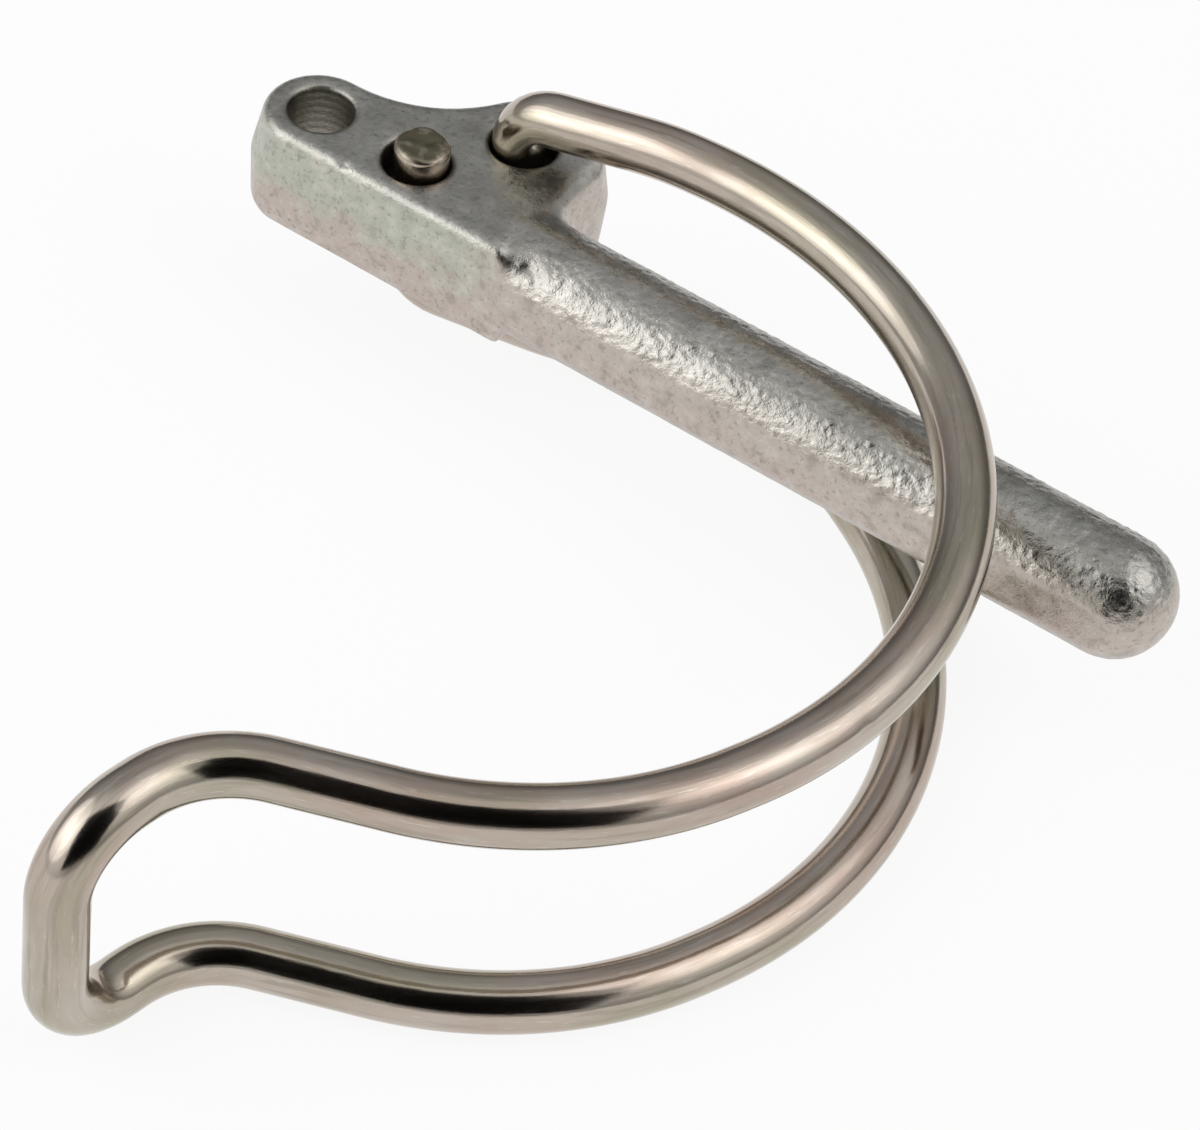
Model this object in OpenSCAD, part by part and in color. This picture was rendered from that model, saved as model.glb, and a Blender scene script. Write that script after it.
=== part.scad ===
// Lynch pin with a spring bail: a drop-forged pin whose flat head carries a chain eye and
// two cross holes, and one bent spring wire whose ends sit in those two holes.
// X runs along the shank to its tip, Z rises out of the head's flat face,
// and the origin lies on the shank's axis at the shoulder.

/* [Shank] */
// Diameter of the round shank
shank_d = 10.8; // [9:0.1:12]
// Length from the shoulder to the end of the domed tip
shank_len = 63.5; // [52:0.5:80]
// Depth of the trimmed flat along each side of the shank
flat_depth = 0.35; // [0.15:0.05:0.4]

/* [Head] */
// Thickness of the head across its two flat faces
head_t = 10.3; // [8.5:0.1:12]
// Radius of the round end behind the chain hole, at mid thickness
eye_r = 5.95; // [5:0.05:6.5]
// Radius of the long hollow between the round end and the lobe
waist_r = 12; // [10:0.5:20]
// How far the middle of the lobe lies ahead of the upper wire hole
lobe_lead = 0.5; // [0:0.1:1]
// Rounding of the forged edges
edge_r = 1.2; // [0.6:0.1:1.5]
// Rounding of the shoulder's upper edge, where the shank leaves the head
shoulder_r = 2; // [1.4:0.1:2.4]
// How far the forged sides swell from the upper edge to mid thickness
side_draft = 0.7; // [0.3:0.1:1]
// How far they fall back again from mid thickness to the lower edge
low_draft = 0.2; // [0.1:0.1:0.6]

/* [Holes] */
// Diameter of the chain hole
chain_hole_d = 5.9; // [4:0.1:6.4]
// Diameter of the two holes that hold the wire's ends
wire_hole_d = 6.1; // [5.7:0.1:6.8]
// Distance of the chain hole behind the shoulder
chain_back = 24.1; // [22:0.1:28]
// Distance of the upper wire hole behind the shoulder
upper_back = 7.9; // [7:0.1:9]
// Sideways distance of the upper wire hole from the shank's axis
upper_side = 8.85; // [8:0.05:10]
// Distance of the lower wire hole behind the shoulder
lower_back = 13.8; // [13:0.1:15]
// Sideways distance of the chain hole and the lower wire hole from the shank's axis
hole_side = 0.8; // [0.4:0.05:1.2]
// Width of the broken edge at each hole's mouth
hole_rim = 0.3; // [0.1:0.05:0.5]

/* [Bail] */
// Diameter of the spring wire
wire_d = 5; // [4:0.1:5.4]
// Clear gap between the upper and the lower leg
leg_gap = 17.8; // [16:0.1:22]
// Radius of the bow, on the wire's centre line
bow_r = 39; // [35:0.1:40.5]
// Distance of the bow's centre in front of the shoulder
bow_fwd = 12.9; // [10:0.1:15]
// Sideways distance of the bow's centre from the shank's axis
bow_side = 28.7; // [28:0.1:34]
// Angle past the line across its centre at which the bow grows tighter
bow_split = 25; // [10:1:45]
// Radius of the tighter part
end_r = 34.5; // [28:0.5:40]
// Angle at which the bow ends
bow_end = 69; // [60:1:78]
// Straight part between the bow and the reverse bend
neck_lead = 8.8; // [3:0.1:12]
// Radius of the reverse bend that leads to the loop
neck_r = 10.5; // [8:0.5:16]
// Turn of the reverse bend
neck_turn = 58; // [40:1:75]
// Straight part between the reverse bend and the loop
neck_len = 1; // [0.6:0.1:12]
// Bend radius of the loop at the free end
loop_r = 6.5; // [4:0.5:10]
// Bend radius outside each wire hole
riser_r = 4; // [3:0.1:4.5]
// Slope at which each leg leaves the head
leg_rise = 11; // [6:1:12]
// How far each wire end stands out of the far face of the head
stub_out = 2; // [0.5:0.1:4]
// Broken edge at the wire's ends
stub_rim = 0.6; // [0.2:0.1:1]

/* [Hidden] */
$fn = 64;
// air left between a wire end and the wall of its hole
stub_air = 0.15;
// the straight pieces are this much thinner than the bends, and run this far into them
thin = 0.01;
lap = 0.2;
// straight piece between two bends that follow each other
lead = 1;
// bend that levels a leg off
level_r = 30;
// how deep neighbouring edge cuts cross, and how far each runs on past the other
bite = 0.15;
run_on = 3;
// the edge rounding reaches this far past the flat faces, so that it crosses them at an angle
over = 0.03;
// edges round a lobe are this much softer than straight ones, and twice as much in a hollow
soften = 0.06;
// trimmed parting line of the forging, half its height
land = 0.3;
// stock left outside the head for the edge cuts to remove
stock = 1;
// reach of the edge cuts past the head's outline
past = 6;
shank_r = shank_d / 2;
half_t = head_t / 2;
flat_y = shank_r - flat_depth;
dome_x = shank_len - shank_r;
// the shank grows out of the head over this length, and by this much
root_len = 9;
root_grow = 0.6;
chain_c = [-chain_back, hole_side];
upper_c = [-upper_back, upper_side];
lower_c = [-lower_back, hole_side];
near_y = hole_side - eye_r + bite;
// the lobe ends level with the shoulder
lobe_r = upper_back - lobe_lead;
lobe_c = [bite - lobe_r, upper_side + 0.15];
// the hollow touches both the round end and the lobe
gap_v = lobe_c - chain_c;
gap = norm(gap_v);
gap_u = gap_v / gap;
to_eye = eye_r + waist_r - bite;
to_lobe = lobe_r + waist_r - bite;
foot = (to_eye * to_eye - to_lobe * to_lobe + gap * gap) / (2 * gap);
tall = sqrt(max(1, to_eye * to_eye - foot * foot));
waist_c = chain_c + foot * gap_u + tall * [-gap_u[1], gap_u[0]];
eye_a = atan2(waist_c[1] - chain_c[1], waist_c[0] - chain_c[0]);
lobe_a = atan2(waist_c[1] - lobe_c[1], waist_c[0] - lobe_c[0]);
// the hollow's deepest point lies this way from its centre
deep_a = (eye_a + lobe_a) / 2 + 180;
// the wire's ends lean on opposite walls of their holes
lean = (wire_hole_d - wire_d) / 2 - stub_air;
stub_a = upper_c - lean * [0.9, 0.4];
stub_b = lower_c + lean * [0.9, 0.4];
// planes of the two legs, and the bow that both follow
leg_z = (leg_gap + wire_d) / 2;
bow_c = [bow_fwd, -bow_side];
// the upper leg runs straight from its hole until it touches the bow
reach_a = norm(bow_c - stub_a);
turn_r = min(bow_r, reach_a - 0.8);
head_a = atan2(bow_c[1] - stub_a[1], bow_c[0] - stub_a[0]) + asin(turn_r / reach_a);
run = sqrt(reach_a * reach_a - turn_r * turn_r);
turn_a = head_a + 90 + bow_split;
slope_run = max(lead, run - lead - level_r * sin(leg_rise) - riser_r * (1 - sin(leg_rise))) / cos(leg_rise);
// height at which the wire starts to bend over
bend_z = leg_z - riser_r * cos(leg_rise) - slope_run * sin(leg_rise) - level_r * (1 - cos(leg_rise));
// the lower leg joins the bow from an arc of its own, which starts at its hole
join_b = 60;
join_u = [cos(join_b), sin(join_b)];
joint_c = bow_c + lead * [-sin(join_b), cos(join_b)];
arm_b = stub_b - joint_c;
along_b = arm_b * join_u;
back_r = (arm_b * arm_b + turn_r * turn_r - run * run - 2 * turn_r * along_b)
         / (2 * (turn_r - along_b));
back_c = joint_c + (turn_r - back_r) * join_u;
reach_b = norm(back_c - stub_b);
head_b = atan2(back_c[1] - stub_b[1], back_c[0] - stub_b[0]) + asin(back_r / reach_b);
turn_b = head_b + 90 - join_b;

// what the edge cut removes, seen along the edge: x goes into the head, y is height
module edge_cut(soft) {
  top_r = edge_r + soft;
  low_r = 0.7 * top_r;
  top_x = side_draft + top_r;
  low_x = low_draft + low_r;
  top_z = half_t - top_r + over;
  low_z = low_r - half_t - over;
  line = land + soft;
  difference() {
    polygon([
      [-past, -half_t - 1], [low_x, -half_t - 1], [low_x, low_z],
      [low_draft, low_z], [0, -line], [0, line],
      [side_draft, top_z], [top_x, top_z],
      [top_x, half_t + 1], [-past, half_t + 1]
    ]);
    translate([top_x, top_z])
      circle(r = top_r);
    translate([low_x, low_z])
      circle(r = low_r);
  }
}

// an edge cut that goes straight on, with the head on its left
module straight_cut(from, dir, size, soft) {
  translate([from[0], from[1], 0])
    rotate([90, 0, dir + 90])
      linear_extrude(height = size)
        edge_cut(soft);
}

// an edge cut round the outside of a lobe
module outer_cut(c, r, start, turn) {
  translate([c[0], c[1], 0])
    rotate([0, 0, start])
      rotate_extrude(angle = turn)
        translate([r, 0])
          mirror([1, 0])
            edge_cut(soften);
}

// an edge cut along a hollow
module inner_cut(c, r, start, turn) {
  translate([c[0], c[1], 0])
    rotate([0, 0, start])
      rotate_extrude(angle = turn)
        translate([r, 0])
          edge_cut(2 * soften);
}

module head_blank() {
  difference() {
    linear_extrude(height = head_t, center = true)
      polygon([
        [-chain_back - eye_r - stock, near_y - stock],
        [stock, near_y - stock],
        [stock, lobe_c[1] + lobe_r + stock],
        lobe_c + (lobe_r + stock) * [cos(lobe_a) - 0.2, sin(lobe_a) + 0.4],
        waist_c + (waist_r - stock) * [cos(deep_a), sin(deep_a)],
        [-chain_back - eye_r - stock, hole_side + eye_r + stock]
      ]);
    straight_cut([-chain_back - run_on, near_y], 0, chain_back + run_on + stock + 1, 0);
    straight_cut([0, near_y - stock - 1], 90, lobe_c[1] + 0.65 * lobe_r - near_y + stock + 1,
                 shoulder_r - edge_r);
    outer_cut(lobe_c, lobe_r, 0, lobe_a);
    inner_cut(waist_c, waist_r, eye_a - 190, lobe_a - eye_a + 20);
    outer_cut(chain_c, eye_r, eye_a, 270 - eye_a);
  }
}

// one hole through the head, its mouths broken
module head_hole(c, d) {
  translate([c[0], c[1], -half_t - 1])
    cylinder(h = head_t + 2, d = d);
  for (s = [0, 180])
    rotate([s, 0, 0])
      translate([c[0], s > 0 ? -c[1] : c[1], half_t - hole_rim])
        cylinder(h = 2 * hole_rim, d1 = d, d2 = d + 4 * hole_rim);
}

module shank() {
  difference() {
    union() {
      rotate([0, 90, 0])
        cylinder(h = dome_x, r = shank_r);
      translate([dome_x, 0, 0])
        sphere(r = shank_r);
      translate([-root_len, 0, 0])
        rotate([0, 90, 0])
          cylinder(h = root_len, r1 = shank_r - root_grow, r2 = shank_r);
    }
    for (s = [-1, 1])
      translate([shank_len / 2, s * (flat_y + past / 2), 0])
        cube([shank_len + 4 * root_len, past, shank_d + 2], center = true);
  }
}

module forged_pin() {
  color([0.62, 0.61, 0.58])
  difference() {
    union() {
      head_blank();
      shank();
    }
    head_hole(chain_c, chain_hole_d);
    head_hole(upper_c, wire_hole_d);
    head_hole(lower_c, wire_hole_d);
  }
}

// moves, for placing the wire's pieces one after another
function shift(x, y) = [[1, 0, 0, x], [0, 1, 0, y], [0, 0, 1, 0], [0, 0, 0, 1]];
function roll(a) = [[1, 0, 0, 0], [0, cos(a), -sin(a), 0], [0, sin(a), cos(a), 0], [0, 0, 0, 1]];
function yaw(a) = [[cos(a), -sin(a), 0, 0], [sin(a), cos(a), 0, 0], [0, 0, 1, 0], [0, 0, 0, 1]];
function side(turn) = turn < 0 ? -1 : 1;
// where the wire stands after one step: [length] goes straight on,
// and [radius, turn, roll] rolls about the wire's own line and then bends to the left
function after(s) = len(s) == 1 ? shift(s[0], 0)
  : roll(s[2]) * shift(s[0] * sin(abs(s[1])), side(s[1]) * s[0] * (1 - cos(s[1]))) * yaw(s[1]);
function places(steps, i = 0, m = shift(0, 0)) =
  i == len(steps) ? [] : concat([m], places(steps, i + 1, m * after(steps[i])));

module wire_piece(s) {
  if (len(s) == 1)
    translate([-lap, 0, 0])
      rotate([0, 90, 0])
        cylinder(h = s[0] + 2 * lap, d = wire_d - 2 * thin);
  else
    rotate([s[2], 0, 0])
      translate([0, side(s[1]) * s[0], 0])
        rotate([0, 0, s[1] > 0 ? -90 : 90 + s[1]])
          rotate_extrude(angle = abs(s[1]))
            translate([s[0], 0])
              circle(d = wire_d);
}

// one leg of the bail, from the end in its hole to the end of the loop's bend
module bail_leg(at, heading, leg, loop) {
  low = -half_t - stub_out;
  tube = wire_d / 2 - thin;
  tall = bend_z - low + lap;
  steps = concat(
    [[riser_r, 90 - leg_rise, heading - 90], [slope_run], [level_r, leg_rise, 0], [lead]],
    leg,
    [[lead], [end_r, bow_split - bow_end, 0], [neck_lead], [neck_r, neck_turn, 0]],
    [[neck_len], [loop_r, 90, -90]],
    loop
  );
  spots = places(steps);
  translate([at[0], at[1], low])
    rotate_extrude()
      polygon([[0, 0], [tube - stub_rim, 0], [tube, stub_rim], [tube, tall], [0, tall]]);
  translate([at[0], at[1], bend_z])
    rotate([0, -90, 0])
      for (i = [0 : len(steps) - 1])
        multmatrix(spots[i])
          wire_piece(steps[i]);
}

module spring_bail() {
  color([0.72, 0.69, 0.62])
  union() {
    bail_leg(stub_a, head_a, [[turn_r, -turn_a, 90]], [[2 * (leg_z - loop_r)]]);
    mirror([0, 0, 1])
      bail_leg(stub_b, head_b, [[back_r, -turn_b, 90], [lead], [turn_r, -join_b - bow_split, 0]], []);
  }
}

forged_pin();
spring_bail();
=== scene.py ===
# Lynch pin: one forged pin, and one spring wire bent into the bail that locks it.
import math

import bmesh
import bpy
from mathutils import Matrix, Vector, noise
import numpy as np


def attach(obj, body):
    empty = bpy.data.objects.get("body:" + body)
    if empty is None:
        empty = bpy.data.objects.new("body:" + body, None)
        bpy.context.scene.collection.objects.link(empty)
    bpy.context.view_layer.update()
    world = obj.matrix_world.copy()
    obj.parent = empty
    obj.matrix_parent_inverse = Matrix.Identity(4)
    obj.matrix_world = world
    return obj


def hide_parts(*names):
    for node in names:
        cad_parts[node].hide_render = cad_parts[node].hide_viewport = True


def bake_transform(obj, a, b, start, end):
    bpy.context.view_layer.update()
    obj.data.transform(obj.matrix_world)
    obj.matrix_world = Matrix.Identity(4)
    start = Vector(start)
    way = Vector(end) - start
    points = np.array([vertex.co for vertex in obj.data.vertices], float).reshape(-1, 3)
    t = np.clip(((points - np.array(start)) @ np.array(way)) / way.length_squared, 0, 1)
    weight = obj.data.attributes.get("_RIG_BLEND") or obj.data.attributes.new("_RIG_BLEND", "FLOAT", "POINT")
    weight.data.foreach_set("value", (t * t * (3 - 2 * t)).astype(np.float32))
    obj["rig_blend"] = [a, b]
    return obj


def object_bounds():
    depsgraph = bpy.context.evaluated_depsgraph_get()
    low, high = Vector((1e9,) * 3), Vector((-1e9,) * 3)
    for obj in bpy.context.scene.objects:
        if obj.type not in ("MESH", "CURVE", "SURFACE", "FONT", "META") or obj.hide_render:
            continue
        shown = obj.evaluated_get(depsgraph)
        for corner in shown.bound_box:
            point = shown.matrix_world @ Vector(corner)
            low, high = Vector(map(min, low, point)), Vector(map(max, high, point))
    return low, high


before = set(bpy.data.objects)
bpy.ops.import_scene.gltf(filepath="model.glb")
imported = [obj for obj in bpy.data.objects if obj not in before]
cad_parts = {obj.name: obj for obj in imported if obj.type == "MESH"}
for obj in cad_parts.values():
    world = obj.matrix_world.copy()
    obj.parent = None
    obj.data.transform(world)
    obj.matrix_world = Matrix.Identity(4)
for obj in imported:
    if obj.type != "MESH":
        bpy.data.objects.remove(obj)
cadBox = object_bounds()
mm = 0.001
bpy.context.scene.view_settings.view_transform = "Standard"
print("frame loaded:", ", ".join(sorted(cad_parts)))


# shader values, so that maths on them reads as plain expressions
class Value:
    def __init__(self, tree, socket):
        self.tree = tree
        self.socket = socket

    def maths(self, operation, first, second):
        node = self.tree.nodes.new("ShaderNodeMath")
        node.operation = operation
        for slot, given in zip(node.inputs, (first, second)):
            if isinstance(given, Value):
                self.tree.links.new(given.socket, slot)
            else:
                slot.default_value = given
        return Value(self.tree, node.outputs[0])

    def __add__(self, other):
        return self.maths("ADD", self, other)

    def __radd__(self, other):
        return self.maths("ADD", other, self)

    def __sub__(self, other):
        return self.maths("SUBTRACT", self, other)

    def __rsub__(self, other):
        return self.maths("SUBTRACT", other, self)

    def __mul__(self, other):
        return self.maths("MULTIPLY", self, other)

    def __rmul__(self, other):
        return self.maths("MULTIPLY", other, self)

    def most(self, other):
        return self.maths("MAXIMUM", self, other)


# one material or world, and the one way to add any other node to it
class Finish:
    def __init__(self, owner):
        self.owner = owner
        owner.use_nodes = True
        self.tree = owner.node_tree
        self.tree.nodes.clear()

    def node(self, kind, settings=None, sockets=None, out=0):
        node = self.tree.nodes.new(kind)
        for key, given in (settings or {}).items():
            setattr(node, key, given)
        for key, given in (sockets or {}).items():
            slot = node.inputs[key]
            if isinstance(given, Value):
                self.tree.links.new(given.socket, slot)
            else:
                slot.default_value = given
        return Value(self.tree, node.outputs[out]) if len(node.outputs) else None

    def between(self, value, low, high):  # 0 below low, 1 above high, soft in between
        return self.node(
            "ShaderNodeMapRange",
            {"interpolation_type": "SMOOTHSTEP"},
            {"Value": value, "From Min": low, "From Max": high},
        )

    def mixed(self, share, first, second):  # two colours, each given as RGB or a value
        first, second = (c if isinstance(c, Value) else (*c, 1) for c in (first, second))
        sockets = {0: share, 6: first, 7: second}
        return self.node("ShaderNodeMix", {"data_type": "RGBA"}, sockets, out=2)

    def grain(self, where, size, detail=2.0, rough=0.5):  # size in millimetres
        return self.node(
            "ShaderNodeTexNoise",
            None,
            {"Vector": where, "Scale": 1.0 / (size * mm), "Detail": detail, "Roughness": rough},
        )

    def attribute(self, name):
        return self.node("ShaderNodeAttribute", {"attribute_name": name}, out=2)

    def axis(self, vector, number):
        return self.node("ShaderNodeSeparateXYZ", None, {0: vector}, out=number)

    def surface(self, shader, kind="Material"):
        self.node("ShaderNodeOutput" + kind, None, {"Surface": shader})

    def metal(self, tint, gloss, relief, look):
        sockets = {"Strength": look["bump"], "Distance": look["bumpDepth"], "Height": relief}
        bumped = self.node("ShaderNodeBump", None, sockets)
        sockets = {"Base Color": tint, "Metallic": 1.0, "Roughness": gloss, "Normal": bumped}
        self.surface(self.node("ShaderNodeBsdfPrincipled", None, sockets))


def edgesOf(geom):
    return [g for g in geom if isinstance(g, bmesh.types.BMEdge)]


def vertsOf(geom):
    return [g for g in geom if isinstance(g, bmesh.types.BMVert)]


# carries a ring of edges on to its next place: moved, and scaled about its own middle
def nextRing(bm, edges, move, ratio=1.0):
    geom = bmesh.ops.extrude_edge_only(bm, edges=edges)["geom"]
    verts = vertsOf(geom)
    middle = sum((v.co for v in verts), Vector()) / len(verts)
    bmesh.ops.scale(bm, vec=(ratio, ratio, ratio), space=Matrix.Translation(-middle), verts=verts)
    bmesh.ops.translate(bm, vec=move, verts=verts)
    return [e for e in edgesOf(geom) if e.is_boundary]


def toObject(bm, name):
    mesh = bpy.data.meshes.new(name)
    bm.to_mesh(mesh)
    bm.free()
    thing = bpy.data.objects.new(name, mesh)
    bpy.context.scene.collection.objects.link(thing)
    return thing


# the forged pin, all sizes in millimetres
forging = {
    "shankRad": 5.4,
    "domeStart": 58.1,
    "flat": 5.05,  # half width across the trimmed sides
    "rootLength": 9.0,
    "rootLess": 0.6,
    "halfThick": 5.15,
    "topEdge": 1.2,
    "lowEdge": 0.84,
    "shoulderEdge": (2.0, 1.4),  # above and below
    "topSwell": 0.7,  # the sides swell out to the parting line by this much
    "lowSwell": 0.2,
    "seam": 0.3,
    "eye": (-24.1, 0.8, 5.95),  # round end behind the chain hole: middle and radius
    "lobe": (-7.25, 9.0, 7.4),
    "waist": 12.0,
    "nearSide": -5.0,
    "holes": [(-24.1, 0.8, 2.95), (-7.9, 8.85, 3.05), (-13.8, 0.8, 3.05)],
    "holeRim": 0.3,
    "skin": 0.235,  # facet size of the finished surface
    "pebble": 0.072,  # height of the grains on the shank
    "pebbleSize": 0.88,
    "dimple": 0.03,  # the same on the head
    "dimpleSize": 0.6,
    "grainSeed": 7,  # keeps the grains the same in every run
    "wave": 0.03,  # unevenness of the whole forging
    "waveSize": 5.0,
    "ringPitch": 0.85,  # marks of the drill in the chain hole
    "ringDepth": 0.012,
    "ringMargin": 0.4,  # bare bore at each end of the marks
    "boreFade": (0.1, 0.7),  # past a hole's wall, where its drilled finish and the painted shade in the hole end
    "shankGrain": (-1.5, 1.5),  # along the pin, where the head's grain turns into the shank's
    "trim": (4.75, 5.0),  # out from the axis, where the trimmed sides start
    "farFlank": (2.0, 4.0),  # heights between which a flank's grain grows to its full height
    "nearFlank": (-2.5, 0.5),
    "underside": (4.2, 5.0),
    "flankGrain": 0.3,  # shares of the full height that are left
    "edgeGrain": 0.25,
    "meltTo": 3.2,  # the shoulder is melted into the shank up to here, and above this depth
    "meltUnder": -2.5,
    "melts": [(-2.8, 10), (-1.6, 28)],  # where each melting starts, and its passes
    "pits": [  # place, depth and width
        ((1.0, -3.45, 4.25), 0.22, 0.6),
        ((1.9, -3.4, 4.2), 0.14, 0.5),
        ((2.1, -3.9, 3.7), 0.10, 0.6),
        ((-18.3, -3.75, 4.95), 0.18, 0.4),
        ((-18.8, -3.3, 5.1), 0.12, 0.4),
        ((-19.5, -2.7, 5.15), 0.05, 0.45),
    ],
}


def tangentAngles():
    eyeX, eyeY, eyeRad = forging["eye"]
    lobeX, lobeY, lobeRad = forging["lobe"]
    eye, lobe, hollow = Vector((eyeX, eyeY)), Vector((lobeX, lobeY)), forging["waist"]
    gap = (lobe - eye).length
    along = (lobe - eye) / gap
    toEye, toLobe = eyeRad + hollow, lobeRad + hollow
    foot = (toEye**2 - toLobe**2 + gap**2) / (2 * gap)
    tall = math.sqrt(toEye**2 - foot**2)
    waist = eye + foot * along + tall * Vector((-along.y, along.x))
    eyeTurn = math.atan2(waist.y - eye.y, waist.x - eye.x)
    lobeTurn = math.atan2(waist.y - lobe.y, waist.x - lobe.x)
    return eye, lobe, waist, eyeTurn, lobeTurn


# draws a chain of edges, straight or round
class Pencil:
    def __init__(self, bm, start):
        self.bm = bm
        self.old = set(bm.edges)
        self.first = self.last = bm.verts.new(start)

    def straightTo(self, place, steps=1):
        stride = (Vector(place) - self.last.co) / steps
        for _ in range(steps):
            self.last = bmesh.ops.extrude_vert_indiv(self.bm, verts=[self.last])["verts"][0]
            bmesh.ops.translate(self.bm, vec=stride, verts=[self.last])

    def roundOn(self, middle, axis, turn, steps):
        done = bmesh.ops.spin(self.bm, geom=[self.last], cent=middle, axis=axis, angle=turn, steps=steps)
        self.last = vertsOf(done["geom_last"])[0]

    def close(self):
        bmesh.ops.contextual_create(self.bm, geom=[self.last, self.first])
        return [e for e in self.bm.edges if e not in self.old]


# the head's outline at one height, drawn inset from the parting line
def headOutline(bm, inset, height):
    eye, lobe, waist, eyeTurn, lobeTurn = tangentAngles()
    eyeRad, lobeRad = forging["eye"][2] - inset, forging["lobe"][2] - inset
    near = forging["nearSide"] + inset
    drop = math.asin((near - eye.y) / eyeRad)
    up = (0, 0, 1)
    pencil = Pencil(bm, (eye.x, near, height))
    pencil.straightTo((-inset, near, height), 24)
    pencil.straightTo((-inset, lobe.y, height), 14)
    pencil.straightTo((lobe.x + lobeRad, lobe.y, height))
    pencil.roundOn((lobe.x, lobe.y, height), up, lobeTurn, 24)
    pencil.roundOn((waist.x, waist.y, height), up, eyeTurn - lobeTurn, 20)
    pencil.roundOn((eye.x, eye.y, height), up, math.pi - drop - eyeTurn, 28)
    return pencil.close()


# cutters that round the shoulder more than the other edges
def shoulderCutters():
    bm = bmesh.new()
    half, seam = forging["halfThick"], forging["seam"]
    far, clear = 4.0, 2.0  # how far the cutters stand out of the head
    reach = forging["lobe"][1] + 0.65 * forging["lobe"][2]  # they end in the lobe's round
    start = forging["nearSide"] - clear
    above, below = forging["shoulderEdge"]
    for way, rad, swell in ((1, above, forging["topSwell"]), (-1, below, forging["lowSwell"])):
        turnAt = half - rad
        pencil = Pencil(bm, (far, start, way * seam))
        pencil.straightTo((0, start, way * seam))
        pencil.straightTo((-swell, start, way * turnAt))
        pencil.roundOn((-swell - rad, start, way * turnAt), (0, 1, 0), -way * math.pi / 2, 10)
        pencil.straightTo((-swell - rad, start, way * (half + far)))
        pencil.straightTo((far, start, way * (half + far)))
        face = bmesh.ops.contextual_create(bm, geom=pencil.close())["faces"]
        grown = bmesh.ops.extrude_face_region(bm, geom=face, use_keep_orig=True)["geom"]
        bmesh.ops.translate(bm, vec=(0, reach - start, 0), verts=vertsOf(grown))
    bmesh.ops.recalc_face_normals(bm, faces=bm.faces)
    return toObject(bm, "shoulderCutters")


def headBlank():
    bm = bmesh.new()
    half, steps = forging["halfThick"], 6
    turns = [math.radians(90 * i / steps) for i in range(steps + 1)]
    rad, swell = forging["lowEdge"], forging["lowSwell"]
    levels = [(swell + rad * (1 - math.sin(t)), -half + rad * (1 - math.cos(t))) for t in turns]
    levels += [(0.0, -forging["seam"]), (0.0, forging["seam"])]
    rad, swell = forging["topEdge"], forging["topSwell"]
    levels += [(swell + rad * (1 - math.cos(t)), half - rad * (1 - math.sin(t))) for t in turns]
    rings = [headOutline(bm, inset, height) for inset, height in levels]
    for below, above in zip(rings, rings[1:]):
        bmesh.ops.bridge_loops(bm, edges=below + above)
    bmesh.ops.contextual_create(bm, geom=rings[0])
    bmesh.ops.contextual_create(bm, geom=rings[-1])
    bmesh.ops.recalc_face_normals(bm, faces=bm.faces)
    return toObject(bm, "headBlank")


def shankBlank():
    bm = bmesh.new()
    rad, dome, flat = forging["shankRad"], forging["domeStart"], forging["flat"]
    small = rad - forging["rootLess"]
    root = forging["rootLength"]
    lie = Matrix.Translation((-root, 0, 0)) @ Matrix.Rotation(math.radians(90), 4, "Y")
    bmesh.ops.create_circle(bm, cap_ends=True, radius=small, segments=128, matrix=lie)
    ring = list(bm.edges)
    ring = nextRing(bm, ring, (root, 0, 0), rad / small)
    ring = nextRing(bm, ring, (dome, 0, 0))
    steps, lastTurn, before = 14, 88, 0.0  # the dome stops short of its pole
    for i in range(1, steps + 1):
        turn = math.radians(lastTurn * i / steps)
        onward = rad * (math.sin(turn) - math.sin(before))
        ring = nextRing(bm, ring, (onward, 0, 0), math.cos(turn) / math.cos(before))
        before = turn
    bmesh.ops.contextual_create(bm, geom=ring)
    for v in bm.verts:  # the trimmed sides
        v.co.y = max(-flat, min(flat, v.co.y))
    bmesh.ops.recalc_face_normals(bm, faces=bm.faces)
    return toObject(bm, "shankBlank")


def drillBits():
    bm = bmesh.new()
    half, rim = forging["halfThick"], forging["holeRim"]
    for x, y, rad in forging["holes"]:
        wide = rad + 2 * rim
        place = Matrix.Translation((x, y, -half - rim))
        made = bmesh.ops.create_circle(bm, cap_ends=True, radius=wide, segments=96, matrix=place)
        ring = list({e for v in made["verts"] for e in v.link_edges})
        ring = nextRing(bm, ring, (0, 0, 2 * rim), rad / wide)
        ring = nextRing(bm, ring, (0, 0, 2 * (half - rim)))
        ring = nextRing(bm, ring, (0, 0, 2 * rim), wide / rad)
        bmesh.ops.contextual_create(bm, geom=ring)
    bmesh.ops.recalc_face_normals(bm, faces=bm.faces)
    return toObject(bm, "drillBits")


def bakeModifiers(thing, name):
    evaluated = thing.evaluated_get(bpy.context.evaluated_depsgraph_get())
    mesh = bpy.data.meshes.new_from_object(evaluated)
    mesh.name = name
    thing.modifiers.clear()
    thing.data = mesh
    thing.name = name


def softStep(value, low, high):
    share = max(0.0, min(1.0, (value - low) / (high - low)))
    return share * share * (3 - 2 * share)


# crumpled grains as the forging die leaves them, about -1 to 1
def pebbles(p, size):
    spread = noise.noise_vector(p / (size * 2.2)) * 0.35
    near = noise.voronoi(p / size + spread)[0]
    return 1.6 * (near[1] - near[0]) - 0.75 + 0.5 * noise.noise(p / (size * 0.55))


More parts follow.
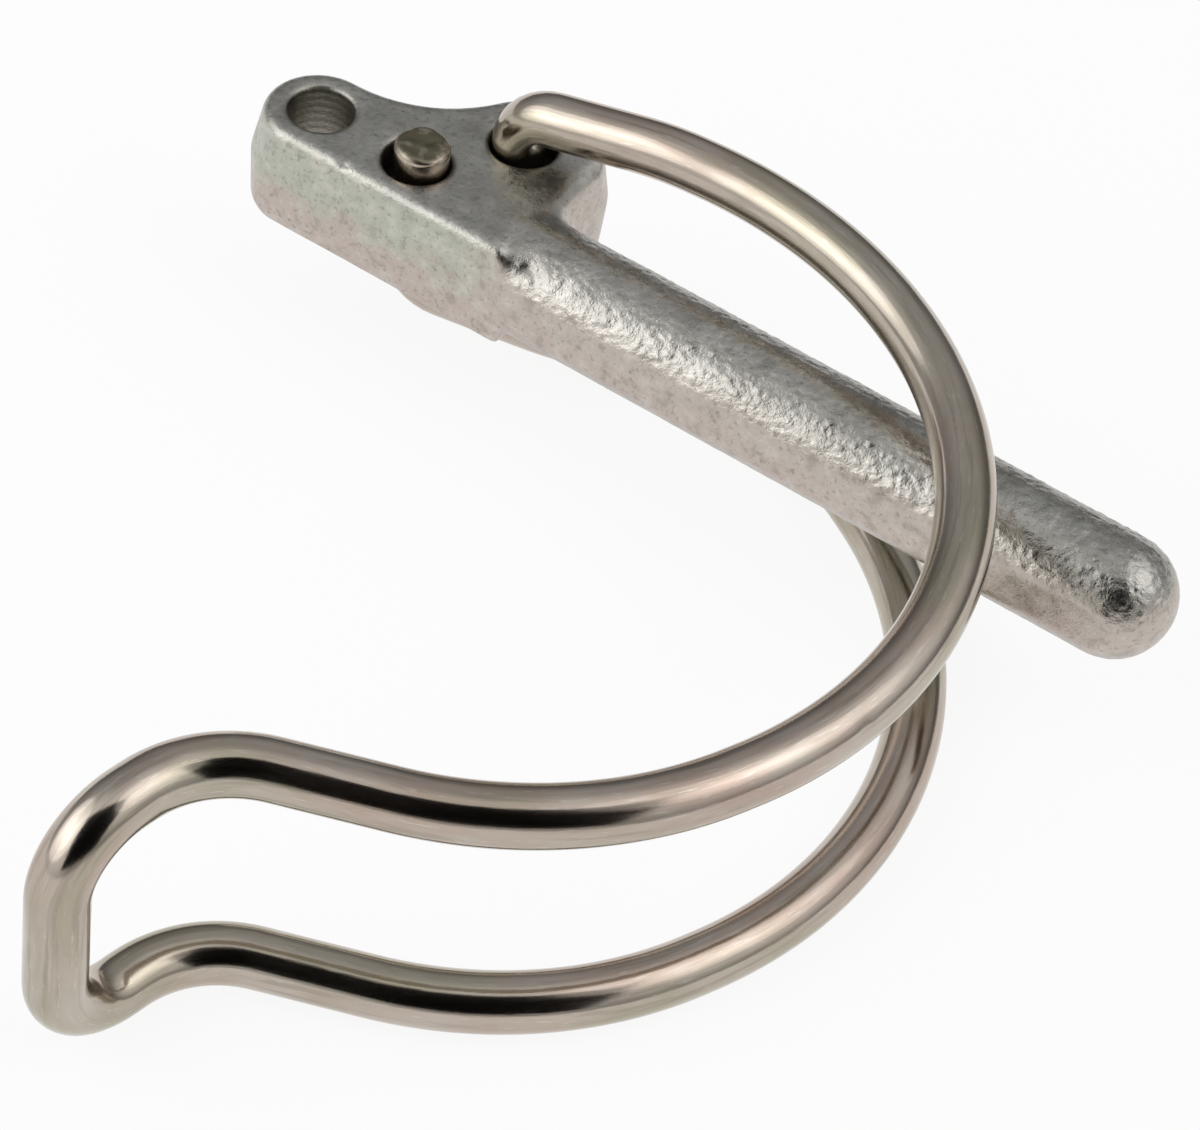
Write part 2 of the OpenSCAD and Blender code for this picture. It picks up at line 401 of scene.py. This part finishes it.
# how much of the shank's and of the head's grain a point has, and how far it faces sideways
def grainShares(p, n):
    upright, level = abs(n.z), abs(n.y)
    onShank = softStep(p.x, *forging["shankGrain"])
    trimmed = softStep(abs(p.y), *forging["trim"]) * softStep(level, 0.75, 0.97)
    crown = softStep(p.z, *forging["farFlank" if p.y > 0 else "nearFlank"])
    crown = max(crown, softStep(-p.z, *forging["underside"]))
    least = forging["flankGrain"]
    coarse = onShank * (1 - trimmed) * (least + (1 - least) * crown)
    fine = (1 - onShank) * max(forging["edgeGrain"], softStep(upright, 0.75, 0.97))
    return coarse, fine, 1 - softStep(upright, 0.35, 0.75)


def makeForgedPin():
    pin, cutters, shank, bits = headBlank(), shoulderCutters(), shankBlank(), drillBits()
    for tool, operation in ((cutters, "DIFFERENCE"), (shank, "UNION"), (bits, "DIFFERENCE")):
        cut = pin.modifiers.new(tool.name, "BOOLEAN")
        cut.operation = operation
        cut.object = tool
        cut.solver = "EXACT"
    fuse = pin.modifiers.new("fuse", "REMESH")
    fuse.mode = "VOXEL"
    fuse.voxel_size = forging["skin"]
    bakeModifiers(pin, "forgedPin")
    for tool in (cutters, shank, bits):
        bpy.data.objects.remove(tool)

    bm = bmesh.new()
    bm.from_mesh(pin.data)
    end, under = forging["meltTo"], forging["meltUnder"]
    shoulder = [v for v in bm.verts if v.co.x < end and v.co.z > under]
    shoulder = [v for v in shoulder if abs(v.co.y) < forging["lobe"][1]]
    melting = [([v for v in shoulder if v.co.x > back], passes) for back, passes in forging["melts"]]
    everyAxis = {"use_axis_x": True, "use_axis_y": True, "use_axis_z": True}
    for verts, passes in [(bm.verts, 2)] + melting:
        for _ in range(passes):
            bmesh.ops.smooth_vert(bm, verts=verts, factor=0.5, **everyAxis)
    bm.normal_update()
    rough = bm.verts.layers.float.new("pebbled")
    side = bm.verts.layers.float.new("sideways")
    # painted shade in the holes and pits, passed on to the material
    hollowShadeLayer = bm.verts.layers.float.new("hollowShade")
    moves = []
    rim, marked = forging["holeRim"], forging["halfThick"] - forging["ringMargin"]
    noise.seed_set(forging["grainSeed"])
    for v in bm.verts:
        p, n = v.co, v.normal
        boreAndShade = 0.0
        push = 0.0
        for i, (x, y, rad) in enumerate(forging["holes"]):
            away = math.hypot(p.x - x, p.y - y) - rad
            boreAndShade = max(boreAndShade, 1 - softStep(away, *forging["boreFade"]))
            if i == 0 and away < rim and abs(p.z) < marked:
                push += forging["ringDepth"] * math.sin(2 * math.pi * p.z / forging["ringPitch"])
        coarse, fine, sideways = grainShares(p, n)
        height = forging["pebble"] * coarse * pebbles(p, forging["pebbleSize"])
        height += forging["dimple"] * fine * pebbles(p, forging["dimpleSize"])
        height += forging["wave"] * noise.noise(p / forging["waveSize"])
        push += height * (1 - boreAndShade)
        for place, depth, size in forging["pits"]:
            dent = math.exp(-((p - Vector(place)).length / size) ** 2)
            push -= depth * dent * (1 - boreAndShade)
            # a pit is also darkened with painted shade, the more the deeper it is
            boreAndShade = max(boreAndShade, min(1.0, 4 * depth) * dent)
        v[rough] = (coarse + 0.45 * fine) * (1 - boreAndShade)
        v[side] = sideways
        v[hollowShadeLayer] = boreAndShade
        moves.append(n * push)
    for v, move in zip(bm.verts, moves):
        v.co += move
    bmesh.ops.scale(bm, vec=(mm, mm, mm), verts=bm.verts)
    bm.to_mesh(pin.data)
    bm.free()
    pin.data.shade_smooth()
    return pin


forgedPin = makeForgedPin()
print("forged pin:", len(forgedPin.data.polygons), "faces")


# the bail's wire, all sizes in millimetres and degrees
bail = {
    "wireRad": 2.5,
    "legHeight": 11.4,
    "upperEnd": (-8.26, 8.69),  # the wire's two ends, each in its hole
    "lowerEnd": (-13.44, 0.96),
    "endHeight": 7.15,
    "endRim": 0.4,
    "endRings": [0.25, 0.6, 1.0, 1.4, 1.8],  # radii of the rings that close a cut end
    "endRough": 0.2,
    "endRoughSize": 1.1,
    "ripple": 0.012,  # unevenness of the drawn wire
    "rippleSize": (9.0, 1.6),  # along it, and round it
    "riserRad": 4.0,
    "legRise": 11.0,
    "levelRad": 30.0,
    "lead": 1.0,
    "bowMiddle": (12.9, -28.7),
    "bowRad": 39.0,
    "bowSplit": 25.0,
    "tightRad": 34.5,
    "bowEnd": 69.0,
    "joinTurn": 60.0,  # where the lower leg's own arc meets the bow
    "neckLead": 8.8,
    "neckRad": 10.5,
    "neckTurn": 58.0,
    "neckLength": 1.0,
    "loopRad": 6.5,
    "stride": 0.7,  # spacing of the rings along the wire
    "round": 40,  # points round the wire
    "dings": [  # place, depth and width
        ((53.3, -36.1, 12.7), 0.10, 0.6),
        ((14.4, -72.9, 13.9), 0.12, 0.8),
        ((13.9, -76.6, -8.8), 0.08, 1.8),
    ],
}


# walks the wire's middle line: (length,) goes straight on, (radius, turn, roll) bends
def walk(place, steps):
    line = []
    for step in steps:
        if len(step) == 1:
            length = step[0]
            count = max(1, round(length / bail["stride"]))
            for i in range(1, count + 1):
                spot, way = Vector((length * i / count, 0, 0)), Vector((1, 0, 0))
                line.append((place @ spot, place.to_3x3() @ way))
            place = place @ Matrix.Translation((length, 0, 0))
        else:
            rad, turn, roll = step[0], math.radians(step[1]), math.radians(step[2])
            hand = 1 if turn > 0 else -1
            place = place @ Matrix.Rotation(roll, 4, "X")
            count = max(4, round(abs(turn) * rad / bail["stride"]))
            for i in range(1, count + 1):
                part = turn * i / count
                spot = Vector((rad * math.sin(abs(part)), hand * rad * (1 - math.cos(part)), 0))
                way = Vector((math.cos(part), math.sin(part), 0))
                line.append((place @ spot, place.to_3x3() @ way))
            place = place @ Matrix.Translation(spot) @ Matrix.Rotation(turn, 4, "Z")
    return line


# the whole middle line, from the end in the upper hole to the end in the lower one
def wireLine():
    rad, lead, rise = bail["bowRad"], bail["lead"], math.radians(bail["legRise"])
    bow = Vector(bail["bowMiddle"])
    upper, lower = Vector(bail["upperEnd"]), Vector(bail["lowerEnd"])

    def leaving(end, middle, around):  # heading and length of a straight that ends on the arc
        toMiddle = middle - end
        heading = math.atan2(toMiddle.y, toMiddle.x) + math.asin(around / toMiddle.length)
        return math.degrees(heading), math.sqrt(toMiddle.length_squared - around * around)

    upperHeading, run = leaving(upper, bow, rad)
    level, riser = bail["levelRad"], bail["riserRad"]
    rising, going = math.sin(rise), math.cos(rise)
    slope = (run - lead - level * rising - riser * (1 - rising)) / going
    bendHeight = bail["legHeight"] - riser * going - slope * rising - level * (1 - going)
    join = math.radians(bail["joinTurn"])  # the lower leg's arc runs into the bow here
    outward = Vector((math.cos(join), math.sin(join)))
    joint = bow + lead * Vector((-math.sin(join), math.cos(join)))
    arm = lower - joint
    along = arm.dot(outward)
    backRad = (arm.length_squared + rad * rad - run * run - 2 * rad * along) / (2 * (rad - along))
    lowerHeading, _ = leaving(lower, joint + (rad - backRad) * outward, backRad)

    split, end, joinTurn = bail["bowSplit"], bail["bowEnd"], bail["joinTurn"]
    tail = [(lead,), (bail["tightRad"], split - end, 0), (bail["neckLead"],)]
    tail += [(bail["neckRad"], bail["neckTurn"], 0), (bail["neckLength"],)]
    tail += [(bail["loopRad"], 90, -90)]

    def leg(spot, heading, bends):
        foot = Vector((spot.x, spot.y, -bail["endHeight"]))
        start = Matrix.Translation(foot) @ Matrix.Rotation(math.radians(-90), 4, "Y")
        root = [(bendHeight + bail["endHeight"],), (riser, 90 - bail["legRise"], heading - 90)]
        root += [(slope,), (level, bail["legRise"], 0), (lead,)]
        return [(foot, Vector((0, 0, 1)))] + walk(start, root + bends + tail)

    upperLine = leg(upper, upperHeading, [(rad, -(upperHeading + 90 + split), 90)])
    lowerBends = [(backRad, -(lowerHeading + 90 - joinTurn), 90), (lead,), (rad, -(joinTurn + split), 0)]
    lowerLine = leg(lower, lowerHeading, lowerBends)
    flip = Vector((1, 1, -1))
    lowerLine = [(spot * flip, -(way * flip)) for spot, way in lowerLine]
    top, bottom = upperLine[-1][0], lowerLine[-1][0]
    count = round((top - bottom).length / bail["stride"])
    down = (bottom - top).normalized()
    loop = [(top.lerp(bottom, i / count), down) for i in range(1, count)]
    return upperLine + loop + lowerLine[::-1]


def makeSpringBail():
    line = wireLine()
    rad, rim, count = bail["wireRad"], bail["endRim"], bail["round"]
    bm = bmesh.new()
    lay = bm.verts.layers.float_vector.new("lay")  # places on the wire as if it were straight
    cut = bm.verts.layers.float.new("cutEnd")
    spot, way = line[0]
    face = Matrix.Translation(spot) @ way.to_track_quat("Z", "Y").to_matrix().to_4x4()
    sizes = bail["endRings"] + [rad - rim]
    made = bmesh.ops.create_circle(bm, radius=sizes[0], segments=count, matrix=face)["verts"]
    for i, v in enumerate(made):
        turn = 2 * math.pi * i / count
        v[lay] = (0.0, sizes[0] * math.cos(turn), sizes[0] * math.sin(turn))
        v[cut] = 1.0
    bmesh.ops.contextual_create(bm, geom=list(bm.edges))

    def endRing(ring, move, ratio, worn):
        ring = nextRing(bm, ring, move, ratio)
        for v in {v for e in ring for v in e.verts}:
            v[lay] = (v[lay][0], v[lay][1] * ratio, v[lay][2] * ratio)
            v[cut] = worn
        return ring

    ring = list(bm.edges)
    for small, large in zip(sizes, sizes[1:]):  # the cut end
        ring = endRing(ring, (0, 0, 0), large / small, 1.0)
    edge = rad - rim * 0.3
    ring = endRing(ring, way * rim * 0.5, edge / sizes[-1], 0.6)
    ring = endRing(ring, way * rim * 0.5, rad / edge, 0.3)
    total = rim
    here, facing = spot + way * rim, way
    last = line[-1][0] - line[-1][1] * rim
    path = [(spot, way) for spot, way in line if (spot - line[0][0]).length > rim]
    path = [(spot, way) for spot, way in path if (spot - line[-1][0]).length > rim]
    for spot, way in path + [(last, line[-1][1])]:
        geom = bmesh.ops.extrude_edge_only(bm, edges=ring)["geom"]
        verts = vertsOf(geom)
        turn = facing.rotation_difference(way).to_matrix()
        bmesh.ops.rotate(bm, cent=here, matrix=turn, verts=verts)
        bmesh.ops.translate(bm, vec=spot - here, verts=verts)
        total += (spot - here).length
        for v in verts:
            v[lay].x = total
            v[cut] = 0.0
        ring = [e for e in edgesOf(geom) if e.is_boundary]
        here, facing = spot, way
    ring = endRing(ring, way * rim * 0.5, edge / rad, 0.6)
    ring = endRing(ring, way * rim * 0.5, sizes[-1] / edge, 1.0)
    for large, small in zip(sizes[::-1], sizes[-2::-1]):
        ring = endRing(ring, (0, 0, 0), small / large, 1.0)
    bmesh.ops.contextual_create(bm, geom=ring)
    bmesh.ops.recalc_face_normals(bm, faces=bm.faces)
    bm.normal_update()
    along, around = bail["rippleSize"]
    moves = []
    for v in bm.verts:
        p = Vector(v[lay])
        push = bail["ripple"] * noise.noise(Vector((p.x / along, p.y / around, p.z / around)))
        push += v[cut] * bail["endRough"] * noise.noise(v.co / bail["endRoughSize"])
        for place, depth, wide in bail["dings"]:
            away = (v.co - Vector(place)).length / wide
            push -= depth * math.exp(-away * away)
        moves.append(v.normal * push)
    for v, move in zip(bm.verts, moves):
        v.co += move
    bmesh.ops.scale(bm, vec=(mm, mm, mm), verts=bm.verts)
    for v in bm.verts:
        v[lay] = Vector(v[lay]) * mm
    wire = toObject(bm, "springBail")
    wire.data.shade_smooth()
    return wire, total


springBail, wireLength = makeSpringBail()
print("spring bail:", len(springBail.data.polygons), "faces,", round(wireLength), "mm of wire")


# zinc on the forging: darker grey on the tops as painted shade, and a faint green and pink painted
# reflection on the sides
forgedLook = {
    # the tops' greys are painted shade: darker than the sides' colours
    "shadedTopGreys": [(0.35, 0.34, 0.312), (0.43, 0.42, 0.39)],
    "sideReflections": [(0.545, 0.465, 0.42), (0.485, 0.495, 0.425)],  # painted reflection, low and high on the sides
    "reflectionHeight": (-0.0025, 0.0015),  # metres
    "greenReflectionEnd": (-0.007, 0.0),  # metres along the pin, over which the green gives way
    "worn": (0.64, 0.61, 0.57),
    "shade": (0.27, 0.26, 0.235),
    "dirt": (0.20, 0.195, 0.17),
    # painted shade: the colour in the holes and pits
    "hollowShade": (0.24, 0.225, 0.195),
    "rough": 0.36,
    "pebbleShine": 0.07,  # the shank's grains are smoother by this
    "bump": 0.5,
    "bumpDepth": 0.00012,  # metres
}


def forgedZinc():
    look = forgedLook
    made = Finish(bpy.data.materials.new("forgedZinc"))
    where = made.node("ShaderNodeTexCoord", out=3)
    pebbled, sideways, hollowShade = (made.attribute(name) for name in ("pebbled", "sideways", "hollowShade"))
    broad = made.grain(where, 6.0, 3.0, 0.6)
    blotch = made.grain(where, 1.6, 4.0, 0.65)
    speck = made.grain(where, 0.5, 3.0, 0.6)
    fine = made.grain(where, 0.2, 2.0, 0.5)
    length, height = made.axis(where, 0), made.axis(where, 2)
    ragged = height + (broad - 0.5) * 0.008 + (blotch - 0.5) * 0.006
    # painted reflection on the sides: pinker low down, greener higher up
    green = made.between(ragged, *look["reflectionHeight"])
    green = green * (1 - 0.75 * made.between(length, *look["greenReflectionEnd"]))
    sideReflection = made.mixed(green, *look["sideReflections"])
    # upward faces take the darker greys as painted shade, sideways faces the paler painted reflection
    plain = made.mixed(made.between(broad, 0.35, 0.65), *look["shadedTopGreys"])
    tint = made.mixed(sideways * 0.9, plain, sideReflection)
    worn = made.between(blotch, 0.50, 0.66)
    tint = made.mixed(worn * (0.22 + 0.28 * sideways), tint, look["worn"])
    shade = 1 - made.between(blotch, 0.34, 0.48)
    tint = made.mixed(shade * 0.45, tint, look["shade"])
    dirt = 1 - made.between(speck, 0.33, 0.45)
    tint = made.mixed(dirt * 0.45, tint, look["dirt"])
    # painted shade in the holes and pits
    tint = made.mixed(hollowShade * 0.65, tint, look["hollowShade"])
    gloss = look["rough"] - look["pebbleShine"] * pebbled
    gloss = gloss + 0.2 * (speck - 0.5) + 0.2 * (blotch - 0.5)
    relief = speck * (0.35 + 0.65 * pebbled) + fine * 0.4 + blotch * 0.5
    made.metal(tint, gloss, relief, look)
    return made.owner


# zinc on drawn wire: bright, a little yellow, streaked along its length
wireLook = {
    "hues": [(0.405, 0.365, 0.285), (0.45, 0.355, 0.30)],
    "cloud": (0.505, 0.455, 0.395),
    "streak": (0.26, 0.235, 0.185),
    "scratch": (0.63, 0.585, 0.525),
    "cutEnd": (0.15, 0.135, 0.09),
    "rough": 0.10,
    "bump": 0.15,
    "bumpDepth": 0.00005,  # metres
}


def drawnZinc():
    look = wireLook
    made = Finish(bpy.data.materials.new("drawnZinc"))
    lay = made.node("ShaderNodeAttribute", {"attribute_name": "lay"}, out=1)
    cutEnd = made.attribute("cutEnd")

    def drawnOut(share):  # the wire's places, with its length shrunk to this share
        return made.node("ShaderNodeMapping", None, {"Vector": lay, "Scale": (share, 1.0, 1.0)})

    patch = made.grain(drawnOut(0.3), 6.0)
    cloud = made.grain(drawnOut(0.3), 3.0, 3.0, 0.55)
    streak = made.grain(drawnOut(0.05), 0.6, 3.0, 0.6)
    scratch = made.grain(drawnOut(0.12), 0.25, 2.0, 0.6)
    speck = made.grain(lay, 0.35, 2.0, 0.5)
    burr = made.grain(lay, 1.3, 2.0, 0.5)
    tint = made.mixed(made.between(patch, 0.4, 0.6), *look["hues"])
    tint = made.mixed(made.between(cloud, 0.38, 0.68) * 0.8, tint, look["cloud"])
    tint = made.mixed(made.between(streak, 0.5, 0.70) * 0.5, tint, look["streak"])
    tint = made.mixed(made.between(scratch, 0.58, 0.74) * 0.45, tint, look["scratch"])
    stained = cutEnd * (1 - 0.5 * made.between(burr, 0.48, 0.66))
    tint = made.mixed(stained, tint, look["cutEnd"])
    gloss = look["rough"] + 0.11 * streak + 0.06 * (scratch - 0.5) + 0.25 * cutEnd
    made.metal(tint, gloss, streak + scratch * 0.5 + speck * 0.2, look)
    return made.owner


forgedPin.data.materials.append(forgedZinc())
springBail.data.materials.append(drawnZinc())
print("finishes on")

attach(forgedPin, "pin")
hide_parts("forged_pin")

# the wire's lower end stays in its hole as the bail swings, so the lower leg flexes
flex = {"still": 12.0, "swings": 38.0}  # millimetres from the lower end
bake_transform(springBail, "pin", "bail", start=(-0.0134, 0.001, -0.0114), end=(0.04, 0.012, -0.0114))
turning = springBail.data.attributes["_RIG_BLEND"]
for i, point in enumerate(springBail.data.attributes["lay"].data):
    fromEnd = wireLength - point.vector[0] / mm
    turning.data[i].value = softStep(fromEnd, flex["still"], flex["swings"])
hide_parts("spring_bail")
print("pieces on their bodies")

# camera, at the photograph's angle
view = {
    "place": (124.32, -228.54, 241.6),  # millimetres
    "right": (0.8279, 0.5486, 0.1161),
    "up": (-0.4708, 0.5674, 0.6757),
    "back": (0.3048, -0.6141, 0.7280),
    "lens": 122.06,
    "sensor": 36.0,
}
lens = bpy.data.cameras.new("camera")
lens.lens = view["lens"]
lens.sensor_fit = "HORIZONTAL"
lens.sensor_width = view["sensor"]
camera = bpy.data.objects.new("camera", lens)
bpy.context.scene.collection.objects.link(camera)
turned = Matrix((view["right"], view["up"], view["back"])).transposed().to_4x4()
camera.matrix_world = Matrix.Translation(Vector(view["place"]) * mm) @ turned
bpy.context.scene.camera = camera

# lamps, all sizes and places in metres
studio = {
    "middle": (0.015, -0.025, 0.0),  # what the lamps and the card face
    "keyBox": {"place": (-0.36, -0.37, 0.34), "wide": 0.85, "tall": 0.62, "glow": 4.1},
    "sideBox": {"place": (0.387, 0.096, 0.475), "wide": 0.56, "tall": 0.56, "glow": 2.6},
    "rings": [(0.34, 0.5), (0.65, 0.32), (1.0, 0.18)],  # sizes in a box, and shares of its glow
    "card": {"place": (0.348, -0.515, 0.516), "wide": 0.92, "tall": 1.0},
}


def facing(place, axis):
    look = (Vector(studio["middle"]) - Vector(place)).to_track_quat(axis, "Y")
    return Matrix.Translation(place) @ look.to_matrix().to_4x4()


# an oval soft box, brightest in its middle: glow is how bright its face is
def softBox(name):
    box = studio[name]
    for size, part in studio["rings"]:
        lamp = bpy.data.lights.new(name, "AREA")
        lamp.shape = "ELLIPSE"
        lamp.size = box["wide"] * size
        lamp.size_y = box["tall"] * size
        area = math.pi / 4 * lamp.size * lamp.size_y
        lamp.energy = box["glow"] * part * math.pi * area
        thing = bpy.data.objects.new(name, lamp)
        bpy.context.scene.collection.objects.link(thing)
        thing.matrix_world = facing(box["place"], "-Z")


softBox("keyBox")
softBox("sideBox")

# grey room, dark low down and darkest at the back, paler past the two lamps
roomLook = {
    "low": [(0.42, 0.42, 0.42), (0.16, 0.16, 0.16)],  # in front and at the back
    "lowTurn": (-0.2, 0.6),
    "high": (0.46, 0.47, 0.48),
    "highTurn": (0.1, 0.75),
    "pale": [  # way to its middle, where it starts and is full, colour
        ((-0.305, -0.685, 0.661), (0.45, 1.0), (1.0, 1.0, 0.99)),
        ((0.60, 0.195, 0.77), (0.55, 0.95), (0.95, 0.95, 0.95)),
    ],
}
room = Finish(bpy.data.worlds.new("room"))
bpy.context.scene.world = room.owner
way = room.node("ShaderNodeTexCoord", out=0)
rightward, backward, upward = (room.axis(way, number) for number in range(3))
low = room.mixed(room.between(backward, *roomLook["lowTurn"]), *roomLook["low"])
sky = room.mixed(room.between(upward, *roomLook["highTurn"]), low, roomLook["high"])
for (x, y, z), limits, colour in roomLook["pale"]:
    toward = rightward * x + backward * y + upward * z
    sky = room.mixed(room.between(toward, *limits), sky, colour)
air = room.node("ShaderNodeBackground", None, {"Color": sky, "Strength": 1.0})
room.surface(air, "World")


def flatSheet(name, wide, tall, place):
    sheet = bmesh.new()
    bmesh.ops.create_grid(sheet, x_segments=1, y_segments=1, size=0.5)
    bmesh.ops.scale(sheet, vec=(wide, tall, 1), verts=sheet.verts)
    bmesh.ops.transform(sheet, matrix=place, verts=sheet.verts)
    return toObject(sheet, name)


# dark card behind the camera, which the bright wire mirrors as its black line
card = studio["card"]
darkCard = flatSheet("darkCard", card["wide"], card["tall"], facing(card["place"], "Z"))
darkCard.visible_camera = False
felt = Finish(bpy.data.materials.new("blackFelt"))
felt.surface(felt.node("ShaderNodeBsdfDiffuse", None, {"Color": (0.005, 0.005, 0.005, 1)}))
darkCard.data.materials.append(felt.owner)

# pale floor under what the part rests on
ground = {"width": 6.0, "pale": (0.9, 0.9, 0.9, 1), "white": 0.9}  # white is its share where seen
onGround = Matrix.Translation((0, 0, cadBox[0].z))
floor = flatSheet("floor", ground["width"], ground["width"], onGround)
pale = Finish(bpy.data.materials.new("paleFloor"))
rays = ("Is Camera Ray", "Is Glossy Ray", "Is Transmission Ray")
seen, mirrored, through = (pale.node("ShaderNodeLightPath", out=ray) for ray in rays)
matt = pale.node("ShaderNodeBsdfDiffuse", None, {"Color": ground["pale"]})
white = pale.node("ShaderNodeEmission", None, {"Color": (1, 1, 1, 1), "Strength": 1.0})
share = seen.most(mirrored).most(through) * ground["white"]
pale.surface(pale.node("ShaderNodeMixShader", None, {0: share, 1: matt, 2: white}))
floor.data.materials.append(pale.owner)
print("camera, light and floor set")
